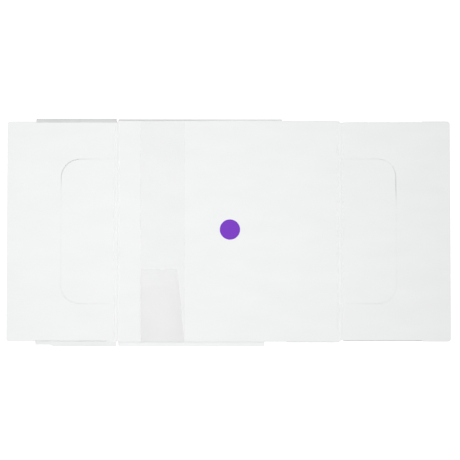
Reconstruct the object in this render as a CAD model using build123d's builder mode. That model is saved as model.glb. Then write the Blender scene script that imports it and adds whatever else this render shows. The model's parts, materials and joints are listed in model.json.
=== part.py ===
from build123d import *

import os

os.makedirs("parts", exist_ok=True)

# Board, film and paper thicknesses
board = 1.6
film = 0.1
label_paper = 0.2

# Clearances between folded layers, across a fold and along a die cut
layer_gap = 0.3
cut_gap = 0.8

# Top panel between its two side folds, and the height of the erected box
panel_width = 305.0
box_height = 149.3

# Gap that the front wall's lower fold keeps from the middle of the panel
seam_gap = 1.0

# Die-cut lift flap inside each side wing
flap_depth = 75.5
flap_length = 196.5
flap_radius = 25.0

# How much tighter the corners of the flap's opening are than the flap's own, so that it swings clear
corner_relief = 10.0

# Side wing corners and the walls' set back from the side folds
wing_corner = 4.0
wall_setback = 2.2

# Corner tabs, measured along and across the side wings' long edges
tab_root = 3.0
tab_length = 107.0
tab_width = 42.0
tab_taper = 11.0
tab_corner = 6.0

# How far the bottom halves show past the folded edges, and for what length from the left
front_peek = 4.5
back_peek = 2.0
front_peek_length = 199.3
back_peek_length = 223.7

# Notch beside the front one's shown edge, and the rest of both edges, just out of sight
notch_width = 30.0
notch_depth = 5.0
hidden_edge = 0.6

# Film strip across the panel, in from the left side fold, with its lapped end
strip_width = 60.5
strip_inset = 32.4
lap_inset = 0.6
lap_length = 100.0
lap_back_width = 50.0
lap_front_width = 59.4
lap_skew = 3.0

# Round label
label_diameter = 27.6
label_x = 1.8
label_y = 2.2

# Heights of the three layers in the flat pack
layer_pitch = board + layer_gap
bottom_layer = 0.0
middle_layer = layer_pitch
top_layer = 2 * layer_pitch
top_face = top_layer + board

# Fold lines: each edge stands half a layer gap back from its fold
fold_back = layer_gap / 2
fold_reach = board + fold_back
panel_depth = 2 * (box_height + seam_gap)
fold_x = panel_width / 2
fold_y = panel_depth / 2
tab_fold_y = fold_y - layer_pitch

# The panel is moved back so that the whole flat pack is centred on the origin
panel_y = (front_peek - back_peek) / 2

# The back wall is one layer shorter, so that the back bottom half lies on the front one
wall_heights = {"front": box_height, "back": box_height - layer_pitch}
peeks = {"front": front_peek, "back": back_peek}
peek_lengths = {"front": front_peek_length, "back": back_peek_length}


def finish(part, name):
    """Name a finished piece and write it."""
    part.label = name
    export_step(part, f"parts/{name}.step")


def flap_outline(side, start, growth, radius):
    """Rounded tongue from the side fold outwards, grown on its three cut sides."""
    far = fold_x + flap_depth + growth
    with BuildSketch() as outline:
        with Locations((side * (start + far) / 2, panel_y)):
            Rectangle(far - start, flap_length + 2 * growth)
        outer = outline.vertices().group_by(Axis.X)[-1 if side > 0 else 0]
        fillet(outer, radius)
    return outline.sketch


# Top panel
with BuildPart() as top_panel:
    with BuildSketch(Plane.XY.offset(top_layer)):
        with Locations((0, panel_y)):
            Rectangle(panel_width - 2 * fold_back, panel_depth - 2 * fold_back)
    extrude(amount=board)
finish(top_panel.part, "top_panel")

# Side wings, set in along their tabs' folds, each with the opening of its lift flap, and the flaps
for name, side in (("left", -1), ("right", 1)):
    wing_start = fold_x + fold_back
    shoulder_start = fold_x + tab_root + tab_length + cut_gap
    wing_end = fold_x + box_height
    window = flap_outline(side, fold_x, cut_gap, flap_radius - corner_relief)
    with BuildPart() as wing:
        with BuildSketch(Plane.XY.offset(top_layer)) as wing_outline:
            with Locations((side * (wing_start + wing_end) / 2, panel_y)):
                Rectangle(wing_end - wing_start, 2 * (tab_fold_y - fold_back))
            with Locations((side * (shoulder_start + wing_end) / 2, panel_y)):
                Rectangle(wing_end - shoulder_start, 2 * (fold_y - fold_back))
            outer = wing_outline.vertices().group_by(Axis.X)[-1 if side > 0 else 0]
            fillet(outer, wing_corner)
            add(window, mode=Mode.SUBTRACT)
        extrude(amount=board)
    finish(wing.part, f"{name}_wing")

    tongue = flap_outline(side, wing_start, 0, flap_radius)
    with BuildPart() as flap:
        with BuildSketch(Plane.XY.offset(top_layer)):
            add(tongue)
        extrude(amount=board)
    finish(flap.part, f"{name}_lift_flap")

# Corner tabs, folded under the wings
for name, side in (("left", -1), ("right", 1)):
    for end_name, end in (("front", -1), ("back", 1)):
        near_x = fold_x + tab_root
        far_x = near_x + tab_length
        fold_edge = tab_fold_y - fold_back
        free_edge = tab_fold_y - tab_width
        corners = [
            (side * near_x, panel_y + end * fold_edge),
            (side * far_x, panel_y + end * fold_edge),
            (side * (far_x - tab_taper), panel_y + end * free_edge),
            (side * (near_x + tab_taper), panel_y + end * free_edge),
        ]
        with BuildPart() as tab:
            with BuildSketch(Plane.XY.offset(middle_layer)) as tab_outline:
                with BuildLine():
                    Polyline(*corners, close=True)
                make_face()
                free = tab_outline.vertices().group_by(Axis.Y)[0 if end > 0 else -1]
                fillet(free, tab_corner)
            extrude(amount=board)
        finish(tab.part, f"{name}_{end_name}_tab")

# Front and back walls, folded under the panel
wall_width = panel_width - 2 * wall_setback
for name, end in (("front", -1), ("back", 1)):
    outer_y = fold_y - fold_back
    inner_y = fold_y - wall_heights[name] + fold_reach + layer_gap
    with BuildPart() as wall:
        with BuildSketch(Plane.XY.offset(middle_layer)):
            with Locations((0, panel_y + end * (outer_y + inner_y) / 2)):
                Rectangle(wall_width, outer_y - inner_y)
        extrude(amount=board)
    finish(wall.part, f"{name}_wall")

# Bottom halves, folded back under their walls, with the edge that shows past the pack
bottom_left = -wall_width / 2
hidden = fold_y + fold_reach - hidden_edge
for name, end in (("front", -1), ("back", 1)):
    fold_edge = fold_y - wall_heights[name] + fold_back
    shown_edge = fold_y + fold_reach + peeks[name]
    peek_end = bottom_left + peek_lengths[name]
    notch_end = peek_end + notch_width
    with BuildPart() as bottom:
        with BuildSketch(Plane.XY.offset(bottom_layer)):
            with Locations((0, panel_y + end * (fold_edge + hidden) / 2)):
                Rectangle(wall_width, hidden - fold_edge)
            with Locations(((bottom_left + peek_end) / 2, panel_y + end * (hidden + shown_edge) / 2)):
                Rectangle(peek_end - bottom_left, shown_edge - hidden)
            if name == "front":
                with Locations(((peek_end + notch_end) / 2, panel_y + end * (hidden - notch_depth / 2))):
                    Rectangle(notch_width, notch_depth, mode=Mode.SUBTRACT)
        extrude(amount=board)
    finish(bottom.part, f"{name}_bottom")

# Film strip across the whole panel
strip_left = strip_inset - fold_x
strip_length = panel_depth - 2 * fold_back
with BuildPart() as film_strip:
    with BuildSketch(Plane.XY.offset(top_face)):
        with Locations((strip_left + strip_width / 2, panel_y)):
            Rectangle(strip_width, strip_length)
    extrude(amount=film)
finish(film_strip.part, "film_strip")

# Lapped end of the film, with its slanted side and uneven top
lap_left = strip_left + lap_inset
lap_front = panel_y - strip_length / 2
lap_back = lap_front + lap_length
with BuildPart() as film_lap:
    with BuildSketch(Plane.XY.offset(top_face + film)):
        with BuildLine():
            Polyline(
                (lap_left, lap_front),
                (lap_left + lap_front_width, lap_front),
                (lap_left + lap_back_width, lap_back - lap_skew),
                (lap_left, lap_back),
                close=True,
            )
        make_face()
    extrude(amount=film)
finish(film_lap.part, "film_lap")

# Plain round label
with BuildPart() as round_label:
    with BuildSketch(Plane.XY.offset(top_face)):
        with Locations((label_x, panel_y + label_y)):
            Circle(label_diameter / 2)
    extrude(amount=label_paper)
finish(round_label.part, "round_label")
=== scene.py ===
import json
import math

import bmesh
import bpy
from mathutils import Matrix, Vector


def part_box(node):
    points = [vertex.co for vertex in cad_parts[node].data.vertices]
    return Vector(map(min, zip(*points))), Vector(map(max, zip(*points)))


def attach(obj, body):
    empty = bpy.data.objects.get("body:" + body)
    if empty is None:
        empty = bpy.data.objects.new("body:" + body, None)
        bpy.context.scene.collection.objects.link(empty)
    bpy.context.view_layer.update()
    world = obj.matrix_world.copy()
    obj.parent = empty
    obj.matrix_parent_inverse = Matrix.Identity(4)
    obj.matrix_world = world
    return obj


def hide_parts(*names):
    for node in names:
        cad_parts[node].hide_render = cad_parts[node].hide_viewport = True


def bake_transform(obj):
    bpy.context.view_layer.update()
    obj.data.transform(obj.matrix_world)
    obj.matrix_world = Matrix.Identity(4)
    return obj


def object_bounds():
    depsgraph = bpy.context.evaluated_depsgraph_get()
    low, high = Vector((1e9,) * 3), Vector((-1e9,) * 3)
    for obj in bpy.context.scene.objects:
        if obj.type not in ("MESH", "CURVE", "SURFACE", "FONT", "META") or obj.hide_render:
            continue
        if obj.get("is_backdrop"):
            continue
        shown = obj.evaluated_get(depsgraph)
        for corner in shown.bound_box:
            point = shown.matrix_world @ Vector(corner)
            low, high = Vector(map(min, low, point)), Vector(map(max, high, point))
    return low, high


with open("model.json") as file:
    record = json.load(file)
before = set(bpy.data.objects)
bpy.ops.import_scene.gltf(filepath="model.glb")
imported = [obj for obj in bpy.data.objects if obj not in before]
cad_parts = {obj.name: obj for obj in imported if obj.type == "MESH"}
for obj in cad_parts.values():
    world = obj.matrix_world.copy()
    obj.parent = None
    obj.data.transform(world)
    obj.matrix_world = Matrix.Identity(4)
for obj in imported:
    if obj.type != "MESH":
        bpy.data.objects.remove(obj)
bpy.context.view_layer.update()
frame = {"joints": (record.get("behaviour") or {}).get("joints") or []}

# Board build-up, in metres: E flute between two liners
LINER = 0.00024
MEDIUM = 0.00018
FLUTE_PITCH = 0.0032
FLUTE_STEPS = 8

# How far the first and last slices of the flutes stay inside the outline
FLUTE_END = 0.00001

# Wing scores: the strip that bends, and how far its pressed ridges reach towards lid and wing
RIDGE_WIDTH = 0.0009
SCORES = {
    "left": {
        "inner": 0.0052, "outer": 0.0056, "rise": 0.00018, "depth": 0.00034,
        "ridge": -0.0008, "dip": 0.0020, "second": 0.0032,
    },
    "right": {
        "inner": 0.0072, "outer": 0.0044, "rise": 0.00012, "depth": 0.00008,
        "ridge": 0.0001, "dip": 0.0024, "second": -0.0047,
    },
}

# Height of the fainter ridge, as a share of the main one
SECOND_RIDGE = 0.45

# Points across a score, and round a rolled fold
SCORE_STEPS = 40
ROLL_STEPS = 16

# The left tabs' folds are loose: they slope out past the wing as far as the bottom halves show
LOOSE_START = 0.00015
LOOSE_STEPS = 14
LOOSE_TIP = 0.0006
LOOSE_RINGS = 54
CREASE_AT = 0.0004
CREASE_WIDTH = 0.0007

# The share of the reach that is level, the crease's depth, and what the reach loses. Both have a start.
LOOSE_FOLDS = {
    "front": {
        "level": 0.05, "crease": 0.0016, "crease_from": 0.012,
        "short": 0.0022, "short_from": 0.086,
    },
    "back": {
        "level": 0.15, "crease": 0.0008, "crease_from": 0.0,
        "short": 0.0, "short_from": 0.086,
    },
}
LOOSE_FADE = 0.004

# Heights of the rounded tip's shoulder and foot over the lower face, as shares of the tip
TIP_SHOULDER = 1.9
TIP_FOOT = 0.1

# Share of the crease's depth that is there before it fades in
CREASE_LEAST = 0.5

# How far each shut fold bulges, as shares of a full half round at its left and right end
BULGES = {
    "front_wall": (0.12, 0.12),
    "back_wall": (1.0, 0.4),
    "right_front_tab": (0.7, 0.7),
    "right_back_tab": (0.45, 0.45),
}

# The right front tab's fold is shut, but pinched along its root
PINCH = 0.0013

# Outlines that the boxes alone do not give
FLAP_RADIUS = 0.025
WING_CORNER = 0.004
SHOULDER_GAP = 0.0004
SHOULDER_CORNER = 0.0008
TAB_TAPER = 0.011
TAB_CORNER = 0.006
FRONT_PEEK_LENGTH = 0.1993
BACK_PEEK_LENGTH = 0.2237
NOTCH_WIDTH = 0.030
NOTCH_DEPTH = 0.005
ARC_STEPS = 12

# How far the rest of the bottom halves' edges stays inside the rolled folds
HIDDEN_EDGE = 0.0006

# The die cut is nearly shut, and stands open where a flap's edge is drawn back from it
SLIT = 0.00006
ARM_SLIT = 0.00020
PULLS = {
    "left": {"at": (-0.0072, -0.0072), "pull": (0.0007, 0.0007), "reach": 0.040},
    "right": {"at": (0.0, -0.0340), "pull": (0.0007, 0.0), "reach": 0.030},
}

# The cut slants: the lower liner of the flap reaches out under the slit, and shuts it to the light
RIM = 0.0012
RIM_START = 0.0005
RIM_CLEARANCE = 0.00002
EDGE_STEP = 0.003

# The film is lifted off what it lies on, so that no two faces coincide
FILM_LIFT = 0.00002

# The lap's slanted and ragged back edge, and where it thins out, measured from that edge
LAP_BACK_WIDTH = 0.050
LAP_RAGGED = 0.003
LAP_STEPS = 12
LAP_WAVES = (9.0, 23.0)
LAP_SHIFT = 1.3
LAP_THIN_FROM = 0.032
LAP_THIN_TO = 0.006

LABEL_SIDES = 96
LABEL_BEVEL = 0.00006
LABEL_BEVEL_STEPS = 2

# The floor is where the erected box would stand, so that it hides none of the panels that fold down
FLOOR_SIZE = 8.0
FLOOR_CLEARANCE = 0.006
FLOOR_COLOUR = (0.9, 0.9, 0.9, 1)

# Floor and world look white to the camera, but light the box less than that
FLOOR_GLOW = 0.68
WORLD_STRENGTH = 0.485
WHITE = (1, 1, 1, 1)

# Camera: the photograph looks almost straight down, from just in front of the pack
PHOTO_PIXELS = 460
METRES_PER_PIXEL = 0.0013640
ELEVATION = 88.0
DISTANCE = 1.75
AIM = Vector((0.0019, 0.0030, 0.0))

SIDES = (("left", -1), ("right", 1))
ENDS = (("front", -1), ("back", 1))

panel_low, panel_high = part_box("top_panel")
BOARD = panel_high.z - panel_low.z
joints = {j["name"]: j for j in frame["joints"]}
FOLD_Z = joints["left_wing_fold"]["pos_m"][2]
FOLD_X = joints["right_wing_fold"]["pos_m"][0]
PANEL_Y = joints["right_wing_fold"]["pos_m"][1]
FOLD_GAP = panel_low.z - FOLD_Z


# Small helpers for outlines and meshes

def arc(centre, radius, start, end, steps):
    """Points on an arc, from one angle to another in degrees."""
    points = []
    for i in range(steps + 1):
        a = math.radians(start + (end - start) * i / steps)
        points.append((centre[0] + radius * math.cos(a), centre[1] + radius * math.sin(a)))
    return points


def rounded(corners, radii):
    """A closed outline whose corners are rounded by their own radii."""
    outline = []
    count = len(corners)
    for i, (corner, radius) in enumerate(zip(corners, radii)):
        here = Vector(corner)
        if radius <= 0:
            outline.append((here.x, here.y))
            continue
        before = (Vector(corners[i - 1]) - here).normalized()
        after = (Vector(corners[(i + 1) % count]) - here).normalized()
        half = math.acos(max(-1.0, min(1.0, before.dot(after)))) / 2
        reach = radius / math.tan(half)
        centre = here + (before + after).normalized() * (radius / math.sin(half))
        first = here + before * reach - centre
        last = here + after * reach - centre
        turn = math.atan2(first.x * last.y - first.y * last.x, first.dot(last))
        base = math.atan2(first.y, first.x)
        for k in range(ARC_STEPS + 1):
            a = base + turn * k / ARC_STEPS
            outline.append((centre.x + radius * math.cos(a), centre.y + radius * math.sin(a)))
    return outline


def ease(share):
    """An even rise from 0 to 1 that starts and ends softly."""
    return share * share * (3 - 2 * share)


def rectangle(x0, y0, x1, y1):
    return [(x0, y0), (x1, y0), (x1, y1), (x0, y1)]


def signed_area(outline):
    total = 0.0
    for i, (x, y) in enumerate(outline):
        nx, ny = outline[(i + 1) % len(outline)]
        total += x * ny - nx * y
    return total / 2


def add_slab(bm, outline, z0, z1, slot):
    """A flat sheet with the outline, from z0 up to z1."""
    if signed_area(outline) < 0:
        outline = list(reversed(outline))
    low = [bm.verts.new((x, y, z0)) for x, y in outline]
    high = [bm.verts.new((x, y, z1)) for x, y in outline]
    faces = [bm.faces.new(list(reversed(low))), bm.faces.new(high)]
    for i in range(len(outline)):
        j = (i + 1) % len(outline)
        faces.append(bm.faces.new((low[i], low[j], high[j], high[i])))
    for face in faces:
        face.material_index = slot


def spans_at(outline, y):
    """Where a line of constant y lies inside the outline, as pairs of x."""
    crossings = []
    for i, (x0, y0) in enumerate(outline):
        x1, y1 = outline[(i + 1) % len(outline)]
        if (y0 <= y) != (y1 <= y):
            crossings.append(x0 + (x1 - x0) * (y - y0) / (y1 - y0))
    crossings.sort()
    return list(zip(crossings[::2], crossings[1::2]))


def flute_runs(outline):
    """Unbroken stretches of the wavy sheet, as lists of slices (y, x0, x1) across the outline."""
    ys = [p[1] for p in outline]
    step = FLUTE_PITCH / FLUTE_STEPS
    runs = []
    running = []
    for k in range(math.ceil(min(ys) / step), math.floor(max(ys) / step) + 1):
        y = min(max(k * step, min(ys) + FLUTE_END), max(ys) - FLUTE_END)
        still_running = []
        for x0, x1 in spans_at(outline, y):
            run = None
            for other in running:
                if max(abs(other[-1][1] - x0), abs(other[-1][2] - x1)) < 2 * FLUTE_PITCH:
                    run = other
            if run is None:
                run = []
                runs.append(run)
            else:
                running.remove(run)
            run.append((y, x0, x1))
            still_running.append(run)
        running = still_running
    return [run for run in runs if len(run) > 1]


def add_flutes(bm, outline, z_mid, swing, slot):
    """The wavy sheet between the liners: its waves run along X and end at the cut edges."""
    for run in flute_runs(outline):
        rings = []
        for y, x0, x1 in run:
            z = z_mid + swing * math.sin(2 * math.pi * y / FLUTE_PITCH)
            corners = ((x0, MEDIUM / 2), (x1, MEDIUM / 2), (x1, -MEDIUM / 2), (x0, -MEDIUM / 2))
            rings.append([bm.verts.new((x, y, z + h)) for x, h in corners])
        faces = [bm.faces.new(rings[0]), bm.faces.new(list(reversed(rings[-1])))]
        for one, two in zip(rings, rings[1:]):
            for i in range(4):
                j = (i + 1) % 4
                faces.append(bm.faces.new((one[i], one[j], two[j], two[i])))
        for face in faces:
            face.material_index = slot


def finish_mesh(bm, name, materials):
    bmesh.ops.recalc_face_normals(bm, faces=bm.faces)
    mesh = bpy.data.meshes.new(name)
    bm.to_mesh(mesh)
    bm.free()
    for material in materials:
        mesh.materials.append(material)
    piece = bpy.data.objects.new(name, mesh)
    bpy.context.scene.collection.objects.link(piece)
    return piece


# Materials

# Sockets of a Mix node that mixes colours
MIX_FACTOR, MIX_A, MIX_B, MIX_RESULT = 0, 6, 7, 2

# A wave texture of scale 1 repeats at this length
WAVE_LENGTH = 0.31416


def new_material(name, roughness, specular):
    material = bpy.data.materials.new(name)
    material.use_nodes = True
    nodes = material.node_tree.nodes
    shader = nodes["Principled BSDF"]
    shader.inputs["Roughness"].default_value = roughness
    shader.inputs["Specular IOR Level"].default_value = specular
    return material, nodes, material.node_tree.links, shader


def object_place(nodes):
    return nodes.new("ShaderNodeTexCoord").outputs["Object"]


def add_noise(nodes, links, vector, scale, detail, stretch=(1, 1, 1)):
    mapping = nodes.new("ShaderNodeMapping")
    mapping.inputs["Scale"].default_value = stretch
    noise = nodes.new("ShaderNodeTexNoise")
    noise.inputs["Scale"].default_value = scale
    noise.inputs["Detail"].default_value = detail
    links.new(vector, mapping.inputs["Vector"])
    links.new(mapping.outputs["Vector"], noise.inputs["Vector"])
    return noise.outputs["Fac"]


def add_wave(nodes, links, vector, length):
    """Slightly uneven waves along Y."""
    wave = nodes.new("ShaderNodeTexWave")
    wave.wave_type = "BANDS"
    wave.bands_direction = "Y"
    wave.inputs["Scale"].default_value = WAVE_LENGTH / length
    wave.inputs["Distortion"].default_value = 0.6
    wave.inputs["Detail"].default_value = 1.0
    links.new(vector, wave.inputs["Vector"])
    return wave.outputs["Fac"]


def ramp(nodes, links, factor, low, high, low_at=0.3, high_at=0.7):
    node = nodes.new("ShaderNodeValToRGB")
    node.color_ramp.elements[0].position = low_at
    node.color_ramp.elements[0].color = (*low, 1)
    node.color_ramp.elements[1].position = high_at
    node.color_ramp.elements[1].color = (*high, 1)
    links.new(factor, node.inputs["Fac"])
    return node.outputs["Color"]


def add_range(nodes, links, vector, axis, start, end, low=0.0, high=1.0, shape="LINEAR"):
    """A value that goes from low to high between two places along an axis."""
    split = nodes.new("ShaderNodeSeparateXYZ")
    links.new(vector, split.inputs["Vector"])
    along = nodes.new("ShaderNodeMapRange")
    along.interpolation_type = shape
    along.inputs["From Min"].default_value = start
    along.inputs["From Max"].default_value = end
    along.inputs["To Min"].default_value = low
    along.inputs["To Max"].default_value = high
    links.new(split.outputs[axis], along.inputs["Value"])
    return along.outputs["Result"]


def add_bump(nodes, links, height, strength, distance, normal=None):
    """A bump from the height, over another bump's normal where one is given."""
    bump = nodes.new("ShaderNodeBump")
    bump.inputs["Strength"].default_value = strength
    bump.inputs["Distance"].default_value = distance
    links.new(height, bump.inputs["Height"])
    if normal is not None:
        links.new(normal, bump.inputs["Normal"])
    return bump.outputs["Normal"]


def paper_material(name, low, high, ribs, fibre, unshaded_colour=None, shade_fade_from=0.0, shade_fade_to=0.0):
    """White board face: fine fibre, soft blotches and the faint ribs below. A painted shade may fade out
    along X into the unshaded colour.
    """
    material, nodes, links, shader = new_material(name, roughness=0.62, specular=0.3)
    place = object_place(nodes)
    blotch = add_noise(nodes, links, place, scale=26.0, detail=4.0, stretch=(0.6, 1.6, 1.0))
    colour = ramp(nodes, links, blotch, low, high)
    if unshaded_colour is not None:
        mix = nodes.new("ShaderNodeMix")
        mix.data_type = "RGBA"
        links.new(add_range(nodes, links, place, "X", shade_fade_from, shade_fade_to), mix.inputs[MIX_FACTOR])
        links.new(colour, mix.inputs[MIX_A])
        mix.inputs[MIX_B].default_value = (*unshaded_colour, 1)
        colour = mix.outputs[MIX_RESULT]
    links.new(colour, shader.inputs["Base Color"])
    grain = add_noise(nodes, links, place, scale=1500.0, detail=3.0, stretch=(0.5, 1.0, 1.0))
    fibres = add_bump(nodes, links, grain, strength=fibre, distance=0.0001)
    wave = add_wave(nodes, links, place, FLUTE_PITCH)
    normal = add_bump(nodes, links, wave, strength=ribs, distance=0.0001, normal=fibres)
    links.new(normal, shader.inputs["Normal"])
    return material


def film_material(name, haze, tint, cover, thin_cover=None, thin_from=0.0, thin_to=0.0):
    """Thin clear film: mostly seen through, with a soft sheen. It may thin out towards the back."""
    material, nodes, links, shader = new_material(name, roughness=0.28, specular=0.45)
    shader.inputs["Alpha"].default_value = cover
    place = object_place(nodes)
    if thin_cover is not None:
        thinning = add_range(nodes, links, place, "Y", thin_from, thin_to, cover, thin_cover, "SMOOTHSTEP")
        links.new(thinning, shader.inputs["Alpha"])
    streak = add_noise(nodes, links, place, scale=22.0, detail=2.0, stretch=(1.0, 0.3, 1.0))
    links.new(ramp(nodes, links, streak, haze, tint), shader.inputs["Base Color"])
    links.new(add_bump(nodes, links, streak, strength=0.2, distance=0.0004), shader.inputs["Normal"])
    return material


def label_material(name, low, high):
    """Coated paper with a fine mottle."""
    material, nodes, links, shader = new_material(name, roughness=0.45, specular=0.2)
    mottle = add_noise(nodes, links, object_place(nodes), scale=900.0, detail=3.0)
    links.new(ramp(nodes, links, mottle, low, high), shader.inputs["Base Color"])
    links.new(add_bump(nodes, links, mottle, strength=0.2, distance=0.00005), shader.inputs["Normal"])
    return material


face_white = paper_material(
    "board_face", low=(0.860, 0.866, 0.868), high=(0.880, 0.886, 0.888), ribs=0.12, fibre=0.25)
# Painted shade: a darker grey board face that stands in for the shade along some fold edges
face_painted_shade = paper_material(
    "board_worn", low=(0.65, 0.655, 0.66), high=(0.75, 0.755, 0.76), ribs=0.0, fibre=0.35)
# Painted shade that fades along X: darker grey at the left end, going over to the board's white
face_painted_shade_fading = paper_material(
    "board_part_worn", low=(0.68, 0.685, 0.69), high=(0.76, 0.765, 0.77), ribs=0.0, fibre=0.35,
    unshaded_colour=(0.87, 0.878, 0.88), shade_fade_from=-0.066, shade_fade_to=0.01)
flute_white = paper_material(
    "board_flutes", low=(0.70, 0.695, 0.68), high=(0.76, 0.755, 0.74), ribs=0.0, fibre=0.3)

# Folds whose strips get a darker grey face: painted shade along their edges
PAINTED_SHADE_FOLDS = {"left_back_tab": face_painted_shade, "right_front_tab": face_painted_shade, "back_wall": face_painted_shade_fading}

lap_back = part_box("film_lap")[1].y
film_clear = film_material("film_clear", haze=(0.58, 0.58, 0.565), tint=(0.64, 0.64, 0.625), cover=0.035)
film_double = film_material(
    "film_double", haze=(0.50, 0.49, 0.48), tint=(0.78, 0.77, 0.76), cover=0.09,
    thin_cover=0.045, thin_from=lap_back - LAP_THIN_FROM, thin_to=lap_back - LAP_THIN_TO)
label_purple = label_material("label_purple", low=(0.185, 0.042, 0.515), high=(0.215, 0.054, 0.565))


# Boards

def make_board(node, body, outline, under=None):
    """A corrugated panel in place of its CAD slab: flutes between two liners. The lower may differ."""
    low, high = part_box(node)
    bm = bmesh.new()
    if under:
        add_slab(bm, under, low.z, low.z + LINER - RIM_CLEARANCE, 0)
    else:
        add_slab(bm, outline, low.z, low.z + LINER, 0)
    add_slab(bm, outline, high.z - LINER, high.z, 0)
    swing = (BOARD - 2 * LINER - MEDIUM) / 2
    add_flutes(bm, outline, (low.z + high.z) / 2, swing, 1)
    piece = finish_mesh(bm, node + "_board", (face_white, flute_white))
    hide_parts(node)
    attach(piece, body)


def trimmed(node, left=0.0, right=0.0):
    """The rectangle of a piece's CAD box, cut shorter at its left and right end."""
    low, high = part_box(node)
    return rectangle(low.x + left, low.y, high.x - right, high.y)


make_board("top_panel", "lid", trimmed(
    "top_panel", SCORES["left"]["inner"] - FOLD_GAP, SCORES["right"]["inner"] - FOLD_GAP))


def flap_reach(name):
    """The flap's far edge and half length, from its CAD box."""
    low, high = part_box(name + "_lift_flap")
    return max(abs(low.x), abs(high.x)), (high.y - low.y) / 2


def tab_folds(name):
    """Where a wing's two tabs fold, in y, and the x of their far ends."""
    front_low, front_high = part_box(name + "_front_tab")
    back_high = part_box(name + "_back_tab")[1]
    far = front_low.x if name == "left" else front_high.x
    return front_low.y, back_high.y, far


def dense(outline, step):
    """The same outline with points at least every step along its edges."""
    points = []
    for i, (x, y) in enumerate(outline):
        nx, ny = outline[(i + 1) % len(outline)]
        count = max(1, math.ceil(math.hypot(nx - x, ny - y) / step))
        for k in range(count):
            points.append((x + (nx - x) * k / count, y + (ny - y) * k / count))
    return points


def drawn_back(outline, centre, pull, reach, keep_x):
    """Edge points near the centre move by the pull, which fades out at the reach and towards the fold."""
    points = []
    for x, y in outline:
        share = max(0.0, 1 - math.hypot(x - centre[0], y - centre[1]) / reach)
        share = ease(share) * min(1.0, abs(x - keep_x) / reach)
        points.append((x + pull[0] * share, y + pull[1] * share))
    return points


def wing_outlines(name, side):
    """The wing round its flap's opening, and its lower liner, whose opening is wider."""
    far, half = flap_reach(name)
    low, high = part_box(name + "_wing")
    start = side * (FOLD_X + SCORES[name]["outer"])
    end = side * (FOLD_X + (high.x - low.x) + FOLD_GAP)
    inset_front, inset_back, tab_far = tab_folds(name)
    shoulder = tab_far + side * SHOULDER_GAP
    outside = [
        (start, inset_front), (shoulder, inset_front), (shoulder, low.y), (end, low.y),
        (end, high.y), (shoulder, high.y), (shoulder, inset_back), (start, inset_back),
    ]
    outside_radii = [0, 0, SHOULDER_CORNER, WING_CORNER, WING_CORNER, SHOULDER_CORNER, 0, 0]

    def with_opening(root_half, far_x, far_half, radius):
        opening = [
            (start, PANEL_Y + root_half), (far_x, PANEL_Y + far_half),
            (far_x, PANEL_Y - far_half), (start, PANEL_Y - root_half),
        ]
        return rounded(outside + opening, outside_radii + [0, radius, radius, 0])

    upper = with_opening(half + SLIT, side * (far + SLIT), half + ARM_SLIT, FLAP_RADIUS + SLIT)
    rim = RIM + SLIT
    under = with_opening(half + rim, side * (far + rim), half + rim, FLAP_RADIUS + rim)
    return upper, under


def flap_outlines(name, side):
    """The flap with its edge drawn back at one spot, and its lower liner, which reaches under the slit."""
    far, half = flap_reach(name)
    start = side * (FOLD_X + SCORES[name]["outer"])
    corners = [
        (start, PANEL_Y - half), (side * far, PANEL_Y - half),
        (side * far, PANEL_Y + half), (start, PANEL_Y + half),
    ]
    tongue = dense(rounded(corners, [0, FLAP_RADIUS, FLAP_RADIUS, 0]), EDGE_STEP)
    spot = PULLS[name]
    centre = (side * (far + spot["at"][0]), PANEL_Y + half + spot["at"][1])
    pull = (-side * spot["pull"][0], -spot["pull"][1])
    rim_start = start + side * RIM_START
    under_far = side * (far + RIM)
    under_half = half + RIM
    under = rounded([
        (start, PANEL_Y - half), (rim_start, PANEL_Y - half), (rim_start, PANEL_Y - under_half),
        (under_far, PANEL_Y - under_half), (under_far, PANEL_Y + under_half),
        (rim_start, PANEL_Y + under_half), (rim_start, PANEL_Y + half), (start, PANEL_Y + half),
    ], [0, 0, 0, FLAP_RADIUS + RIM, FLAP_RADIUS + RIM, 0, 0, 0])
    return drawn_back(tongue, centre, pull, spot["reach"], start), under


def tab_outline(node, side, end):
    """A tab's tapered outline, rounded along its free edge."""
    low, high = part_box(node)
    near, away = (low.x, high.x) if side > 0 else (high.x, low.x)
    fold_y, free_y = (low.y, high.y) if end < 0 else (high.y, low.y)
    corners = [
        (near, fold_y), (away, fold_y),
        (away - side * TAB_TAPER, free_y), (near + side * TAB_TAPER, free_y),
    ]
    return rounded(corners, [0, 0, TAB_CORNER, TAB_CORNER])


for name, side in SIDES:
    make_board(name + "_wing", name + "_wing", *wing_outlines(name, side))
    make_board(name + "_lift_flap", name + "_lift_flap", *flap_outlines(name, side))
    for end_name, end in ENDS:
        node = f"{name}_{end_name}_tab"
        make_board(node, node, tab_outline(node, side, end))

for name in ("front", "back"):
    make_board(name + "_wall", name + "_wall", trimmed(name + "_wall"))

low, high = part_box("front_bottom")
hidden = panel_low.y - BOARD - FOLD_GAP + HIDDEN_EDGE
peek_end = low.x + FRONT_PEEK_LENGTH
notch_end = peek_end + NOTCH_WIDTH
make_board("front_bottom", "front_bottom", [
    (low.x, high.y), (low.x, low.y), (peek_end, low.y), (peek_end, hidden + NOTCH_DEPTH),
    (notch_end, hidden + NOTCH_DEPTH), (notch_end, hidden), (high.x, hidden), (high.x, high.y),
])
low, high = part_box("back_bottom")
hidden = panel_high.y + BOARD + FOLD_GAP - HIDDEN_EDGE
peek_end = low.x + BACK_PEEK_LENGTH
make_board("back_bottom", "back_bottom", [
    (low.x, low.y), (low.x, high.y), (peek_end, high.y), (peek_end, hidden),
    (high.x, hidden), (high.x, low.y),
])


# Fold strips

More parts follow.
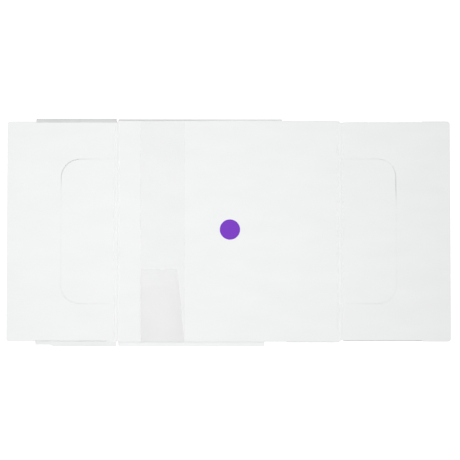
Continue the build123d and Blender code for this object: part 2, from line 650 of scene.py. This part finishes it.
def sweep_section(name, section, place, count=1, material=face_white):
    """A closed solid: the section's points, placed at even steps from one end of a fold to the other."""
    bm = bmesh.new()
    rings = []
    for k in range(count + 1):
        rings.append([bm.verts.new(place(s, n, k / count)) for s, n in section])
    for a, b in zip(rings, rings[1:]):
        for i in range(len(section)):
            j = (i + 1) % len(section)
            bm.faces.new((a[i], a[j], b[j], b[i]))
    bm.faces.new(list(reversed(rings[0])))
    bm.faces.new(rings[-1])
    return finish_mesh(bm, name, (material,))


def bump_at(s, centre):
    return math.exp(-((s - centre) / RIDGE_WIDTH) ** 2)


def score_section(score, end):
    """Pressed strip of full board thickness: a ridge between two dips, and a fainter ridge beside it."""
    top = BOARD + FOLD_GAP
    ridge = score["ridge"]
    width = score["inner"] + end
    upper = []
    under = []
    for i in range(SCORE_STEPS + 1):
        s = -score["inner"] + width * i / SCORE_STEPS
        lift = score["rise"] * (bump_at(s, ridge) + SECOND_RIDGE * bump_at(s, score["second"]))
        dip = score["depth"] * (bump_at(s, ridge - score["dip"]) + bump_at(s, ridge + score["dip"]))
        upper.append((s, top + lift - dip))
        under.append((s, FOLD_GAP))
    return upper + list(reversed(under))


def flat_fold(name, joint, score, y0, y1):
    """The scored strip of a fold that lies flat at rest, from the lid to a wing or a flap."""
    data = joints[joint]
    x, z = data["pos_m"][0], data["pos_m"][2]
    side = math.copysign(1, x)
    section = score_section(score, score["outer"])
    piece = sweep_section(name, section, lambda s, n, t: (x + side * s, y0 + (y1 - y0) * t, z + n))
    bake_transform(piece)


def panel_corner(name, side, score, y0, y1):
    """The pressed strip's part that belongs to the lid alone, past the end of the wing."""
    section = score_section(score, -FOLD_GAP)
    x = side * FOLD_X
    piece = sweep_section(name, section, lambda s, n, t: (x + side * s, y0 + (y1 - y0) * t, FOLD_Z + n))
    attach(piece, "lid")


def roll_section():
    """Half ring round a fold that is shut flat at rest: from the upper board to the lower one."""
    outer = arc((0, 0), BOARD + FOLD_GAP, 90, 270, ROLL_STEPS)
    inner = arc((0, 0), FOLD_GAP, 270, 90, ROLL_STEPS)
    return outer + inner


def rolled_fold(name, joint, x0, x1, end, material, bulge, pinch=0.0):
    """The rolled strip of a fold that is shut at rest. It bulges past the edge, away from the board."""
    data = joints[joint]
    y, z = data["pos_m"][1], data["pos_m"][2]

    def place(s, n, t):
        if n > FOLD_GAP:
            n -= pinch * math.exp(-((s + CREASE_AT) / CREASE_WIDTH) ** 2)
        out = s * (bulge[0] + (bulge[1] - bulge[0]) * t)
        return (x0 + (x1 - x0) * t, y - end * out - end * FOLD_GAP, z + n)

    piece = sweep_section(name, roll_section(), place, material=material)
    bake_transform(piece)


def fade_in(value, start):
    """0 below the start, 1 past it, with an even rise between."""
    return ease(max(0.0, min(1.0, (value - start) / LOOSE_FADE)))


def loose_section(reach, level):
    """A fold that isn't pressed shut: its upper face is level, then slopes down to a rounded tip."""
    top = BOARD + FOLD_GAP
    shoulder = reach - LOOSE_TIP / 2
    drop = 2 * top - TIP_SHOULDER * LOOSE_TIP
    points = []
    for i in range(LOOSE_STEPS + 1):
        share = (i / LOOSE_STEPS) ** 2
        fall = max(0.0, share - level) / (1 - level)
        points.append((shoulder * share, top - drop * fall))
    points += [(reach, LOOSE_TIP - top), (shoulder, TIP_FOOT * LOOSE_TIP - top), (0, -top)]
    return points + [(0, -FOLD_GAP), (FOLD_GAP, 0), (0, FOLD_GAP)]


def loose_fold(name, joint, x0, x1, end, edge_y, look, material):
    """A tab's fold that stands out past the wing."""
    data = joints[joint]
    y, z = data["pos_m"][1], data["pos_m"][2]
    base = y - end * FOLD_GAP
    reach = abs(edge_y - base)

    def place(s, n, t):
        run = abs(x1 - x0) * t
        short = look["short"] * fade_in(run, look["short_from"])
        fade = fade_in(run, look["crease_from"])
        depth = look["crease"] * (CREASE_LEAST + (1 - CREASE_LEAST) * fade)
        if n > FOLD_GAP:
            n -= depth * math.exp(-((s - CREASE_AT) / CREASE_WIDTH) ** 2)
        return (x0 + (x1 - x0) * t, base + end * s * (1 - short / reach), z + n)

    piece = sweep_section(name, loose_section(reach, look["level"]), place, LOOSE_RINGS, material)
    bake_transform(piece)


for name, side in SIDES:
    half = flap_reach(name)[1]
    front_fold, back_fold = tab_folds(name)[:2]
    score = SCORES[name]
    panel_corner(name + "_front_corner", side, score, panel_low.y, front_fold)
    panel_corner(name + "_back_corner", side, score, back_fold, panel_high.y)
    flat_fold(name + "_front_score", name + "_wing_fold", score, front_fold, PANEL_Y - half - SLIT)
    flat_fold(name + "_back_score", name + "_wing_fold", score, PANEL_Y + half + SLIT, back_fold)
    flat_fold(name + "_flap_score", name + "_lift_flap_fold", score, PANEL_Y - half, PANEL_Y + half)
    for end_name, end in ENDS:
        node = f"{name}_{end_name}_tab"
        low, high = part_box(node)
        # Some folds get the darker grey of painted shade along their edge
        material = PAINTED_SHADE_FOLDS.get(node, face_white)
        if name == "left":
            edge_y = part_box("front_bottom")[0].y if end < 0 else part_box("back_bottom")[1].y
            start = -FOLD_X - LOOSE_START
            look = LOOSE_FOLDS[end_name]
            loose_fold(node + "_roll", node + "_fold", start, low.x, end, edge_y, look, material)
        else:
            pinch = PINCH if end < 0 else 0.0
            rolled_fold(node + "_roll", node + "_fold", low.x, high.x, end, material, BULGES[node], pinch)

for end_name, end in ENDS:
    node = end_name + "_wall"
    low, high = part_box(end_name + "_wall")
    # The back wall's fold gets the painted shade that fades along X
    material = PAINTED_SHADE_FOLDS.get(node, face_white)
    rolled_fold(node + "_roll", node + "_fold", low.x, high.x, end, material, BULGES[node])


# Film and label

def make_film(node, material, outline):
    low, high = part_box(node)
    bm = bmesh.new()
    add_slab(bm, outline, low.z + FILM_LIFT, high.z, 0)
    piece = finish_mesh(bm, node + "_sheet", (material,))
    piece.visible_shadow = False
    piece.visible_diffuse = False
    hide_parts(node)
    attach(piece, "lid")


def ragged_edge(x, y):
    """The lap's uneven back edge, from its right end to the left end at x."""
    points = []
    for i in range(LAP_STEPS + 1):
        t = i / LAP_STEPS
        wave = math.sin(LAP_WAVES[0] * t + LAP_SHIFT) * math.cos(LAP_WAVES[1] * t)
        points.append((x + LAP_BACK_WIDTH * (1 - t), y - LAP_RAGGED * (1 + wave) / 2))
    return points


make_film("film_strip", film_clear, trimmed("film_strip"))

low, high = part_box("film_lap")
ragged = ragged_edge(low.x, high.y)
make_film("film_lap", film_double, [(low.x, low.y), (high.x, low.y)] + ragged)

low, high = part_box("round_label")
centre = (low + high) / 2
radius = (high.x - low.x) / 2
bm = bmesh.new()
disc = arc((centre.x, centre.y), radius, 0, 360 - 360 / LABEL_SIDES, LABEL_SIDES - 1)
add_slab(bm, disc, low.z, high.z, 0)
label = finish_mesh(bm, "round_label_disc", (label_purple,))
bevel = label.modifiers.new("edge", "BEVEL")
bevel.width = LABEL_BEVEL
bevel.segments = LABEL_BEVEL_STEPS
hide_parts("round_label")
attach(label, "lid")


# Floor, light and camera

def strength_seen(nodes, links, base, extra):
    """The base strength, with the extra for camera, glossy and transmission rays alone."""
    ray = nodes.new("ShaderNodeLightPath")
    seen = ray.outputs["Is Camera Ray"]
    for kind in ("Is Glossy Ray", "Is Transmission Ray"):
        either = nodes.new("ShaderNodeMath")
        either.operation = "MAXIMUM"
        links.new(seen, either.inputs[0])
        links.new(ray.outputs[kind], either.inputs[1])
        seen = either.outputs["Value"]
    strength = nodes.new("ShaderNodeMath")
    strength.operation = "MULTIPLY_ADD"
    links.new(seen, strength.inputs[0])
    strength.inputs[1].default_value = extra
    strength.inputs[2].default_value = base
    return strength.outputs["Value"]


wing_low, wing_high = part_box("left_wing")
half_floor = FLOOR_SIZE / 2
corners = [(x, y, 0) for x, y in rectangle(-half_floor, -half_floor, half_floor, half_floor)]
floor_mesh = bpy.data.meshes.new("floor")
floor_mesh.from_pydata(corners, [], [(0, 1, 2, 3)])
floor = bpy.data.objects.new("floor", floor_mesh)
floor.location.z = FOLD_Z - (wing_high.x - wing_low.x) - FLOOR_CLEARANCE
bpy.context.scene.collection.objects.link(floor)
floor_material, nodes, links, shader = new_material("floor_white", roughness=0.9, specular=0.0)
shader.inputs["Base Color"].default_value = FLOOR_COLOUR
shader.inputs["Emission Color"].default_value = WHITE
links.new(strength_seen(nodes, links, 0.0, FLOOR_GLOW), shader.inputs["Emission Strength"])
floor_mesh.materials.append(floor_material)
floor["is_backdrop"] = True

world = bpy.data.worlds.new("studio")
bpy.context.scene.world = world
world.use_nodes = True
nodes, links = world.node_tree.nodes, world.node_tree.links
background = nodes["Background"]
background.inputs["Color"].default_value = WHITE
world_seen = strength_seen(nodes, links, WORLD_STRENGTH, 1 - WORLD_STRENGTH)
links.new(world_seen, background.inputs["Strength"])


def area_light(name, place, target, size, power):
    data = bpy.data.lights.new(name, "AREA")
    data.shape = "SQUARE"
    data.size = size
    data.energy = power
    lamp = bpy.data.objects.new(name, data)
    lamp.location = place
    lamp.rotation_euler = (Vector(target) - Vector(place)).to_track_quat("-Z", "Y").to_euler()
    bpy.context.scene.collection.objects.link(lamp)
    return lamp


# The key lamp is hidden from glossy rays, because the film would mirror it
key = area_light("key", place=(-0.1, 0.0, 1.23), target=(-0.1, 0.0, 0.0), size=0.5, power=7.83)
key.visible_camera = False
key.visible_glossy = False
area_light("side", place=(-2.2, -0.3, 1.2), target=(0.0, 0.0, 0.0), size=1.0, power=6.3)

tilt = math.radians(ELEVATION)
camera_data = bpy.data.cameras.new("camera")
camera_data.angle = 2 * math.atan(PHOTO_PIXELS * METRES_PER_PIXEL / 2 / DISTANCE)
camera = bpy.data.objects.new("camera", camera_data)
camera.location = AIM + Vector((0, -math.cos(tilt), math.sin(tilt))) * DISTANCE
camera.rotation_euler = (math.radians(90) - tilt, 0, 0)
bpy.context.scene.collection.objects.link(camera)
bpy.context.scene.camera = camera

bpy.context.scene.view_settings.view_transform = "Standard"

low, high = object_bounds()
